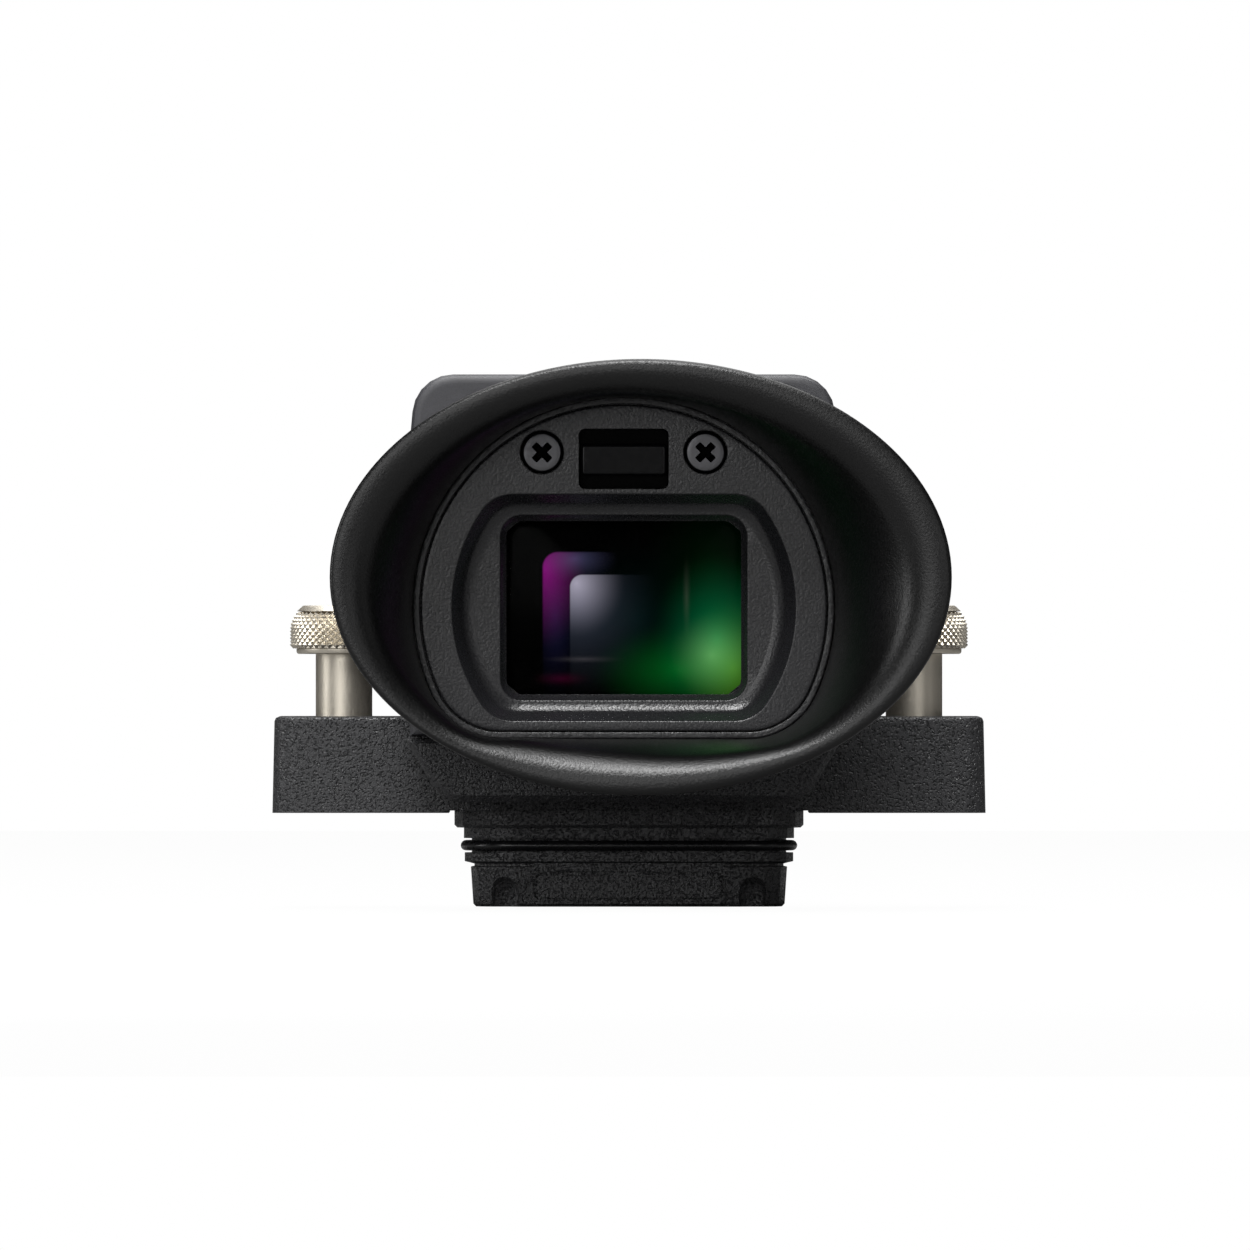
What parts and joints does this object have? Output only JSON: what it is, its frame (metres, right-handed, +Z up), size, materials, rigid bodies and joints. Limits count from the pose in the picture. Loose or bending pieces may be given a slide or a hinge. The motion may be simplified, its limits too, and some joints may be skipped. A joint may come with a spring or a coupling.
{
  "type": "electronic viewfinder",
  "caption": "Tilting electronic viewfinder on a bar mount, with sealed plug below, captive knurled thumbscrews and a large oval rubber eyecup.",
  "frame": {"origin": "centre of the bar's underside, the face that sits on the camera", "axes": "+X to the right as seen from the eyepiece end, -Y towards the eye, +Z up"},
  "size_m": [0.088, 0.0878, 0.0672],
  "materials": {
    "powder_coat": "cast light alloy with a black wrinkle powder coat",
    "satin_plastic": "satin black moulded plastic",
    "dark_plastic": "matt black moulded plastic",
    "ring_plastic": "finely textured black plastic",
    "cap_plastic": "satin black plastic cap",
    "soft_rubber": "matt soft black rubber",
    "seal_rubber": "smooth black sealing rubber",
    "champagne_plate": "brass with a satin champagne nickel plate",
    "steel": "plain steel",
    "bronze": "bronze friction washer",
    "black_steel": "blackened steel",
    "gold_contacts": "gold-plated contact pins on their board",
    "coated_glass": "multi-coated optical glass",
    "sensor_glass": "dark glossy infrared window",
    "display_glass": "unlit display panel",
    "circuit_board": "green circuit board",
    "flex_film": "amber flexible circuit film"
  },
  "bodies": {
    "base": {"mount_base": "powder_coat", "plug_housing": "powder_coat", "plug_o_ring": "seal_rubber", "contact_block": "dark_plastic", "contact_board": "gold_contacts", "left_plug_screw": "black_steel", "left_screw_bush": "steel", "left_screw_spring": "steel", "left_hinge_pin": "steel", "left_hinge_washer": "bronze", "left_hinge_cap": "cap_plastic", "right_plug_screw": "black_steel", "right_screw_bush": "steel", "right_screw_spring": "steel", "right_hinge_pin": "steel", "right_hinge_washer": "bronze", "right_hinge_cap": "cap_plastic"},
    "barrel": {"upper_shell": "satin_plastic", "lower_shell": "powder_coat", "eyepiece_frame": "dark_plastic", "eyepiece_bezel": "satin_plastic", "sensor_tray": "dark_plastic", "sensor_window": "sensor_glass", "sensor_board": "circuit_board", "eyepiece_window": "coated_glass", "eyecup_ring": "ring_plastic", "eyecup": "soft_rubber", "eye_lens": "coated_glass", "lens_retainer": "black_steel", "lens_tube": "dark_plastic", "field_lens": "coated_glass", "display_holder": "dark_plastic", "display_panel": "display_glass", "display_board": "circuit_board", "display_flex": "flex_film", "main_board": "circuit_board", "left_hinge_clip": "black_steel", "left_front_shell_screw": "black_steel", "left_rear_shell_screw": "black_steel", "left_bezel_screw": "black_steel", "right_hinge_clip": "black_steel", "right_front_shell_screw": "black_steel", "right_rear_shell_screw": "black_steel", "right_bezel_screw": "black_steel"},
    "carriage": {"lens_carriage": "dark_plastic", "focus_lens": "coated_glass"},
    "dial": {"diopter_dial": "satin_plastic", "diopter_cam": "steel"},
    "left_spring_seat": {"left_spring_washer": "steel"},
    "left_screw": {"left_thumbscrew": "champagne_plate", "left_retaining_clip": "steel"},
    "right_spring_seat": {"right_spring_washer": "steel"},
    "right_screw": {"right_thumbscrew": "champagne_plate", "right_retaining_clip": "steel"}
  },
  "joints": [
    {"name": "barrel_tilt", "type": "hinge", "parent": "base", "child": "barrel", "pos_m": [-0.00065, -0.002, 0.0331], "axis": [-1, 0, 0], "range_deg": [0, 90]},
    {"name": "diopter_turn", "type": "hinge", "parent": "barrel", "child": "dial", "pos_m": [-0.02685, -0.028, 0.0253], "axis": [-1, 0, 0], "range_deg": [-60, 60]},
    {"name": "focus_slide", "type": "slide", "parent": "barrel", "child": "carriage", "axis": [0, 1, 0], "range_m": [-0.00173, 0.00173]},
    {"name": "left_screw_press", "type": "slide", "parent": "base", "child": "left_spring_seat", "axis": [0, 0, 1], "range_m": [-0.005, 0], "stiffness_N_per_m": 300, "springref_m": 0.003, "deforming": ["left_screw_spring"]},
    {"name": "left_screw_turn", "type": "hinge", "parent": "left_spring_seat", "child": "left_screw", "pos_m": [-0.03525, 0, 0.015], "axis": [0, 0, 1], "continuous": true},
    {"name": "right_screw_press", "type": "slide", "parent": "base", "child": "right_spring_seat", "axis": [0, 0, 1], "range_m": [-0.005, 0], "stiffness_N_per_m": 300, "springref_m": 0.003, "deforming": ["right_screw_spring"]},
    {"name": "right_screw_turn", "type": "hinge", "parent": "right_spring_seat", "child": "right_screw", "pos_m": [0.03525, 0, 0.015], "axis": [0, 0, 1], "continuous": true}
  ],
  "couplings": [
    {"joint": "diopter_turn", "follows": "focus_slide", "rad_per_m": 606.06}
  ]
}
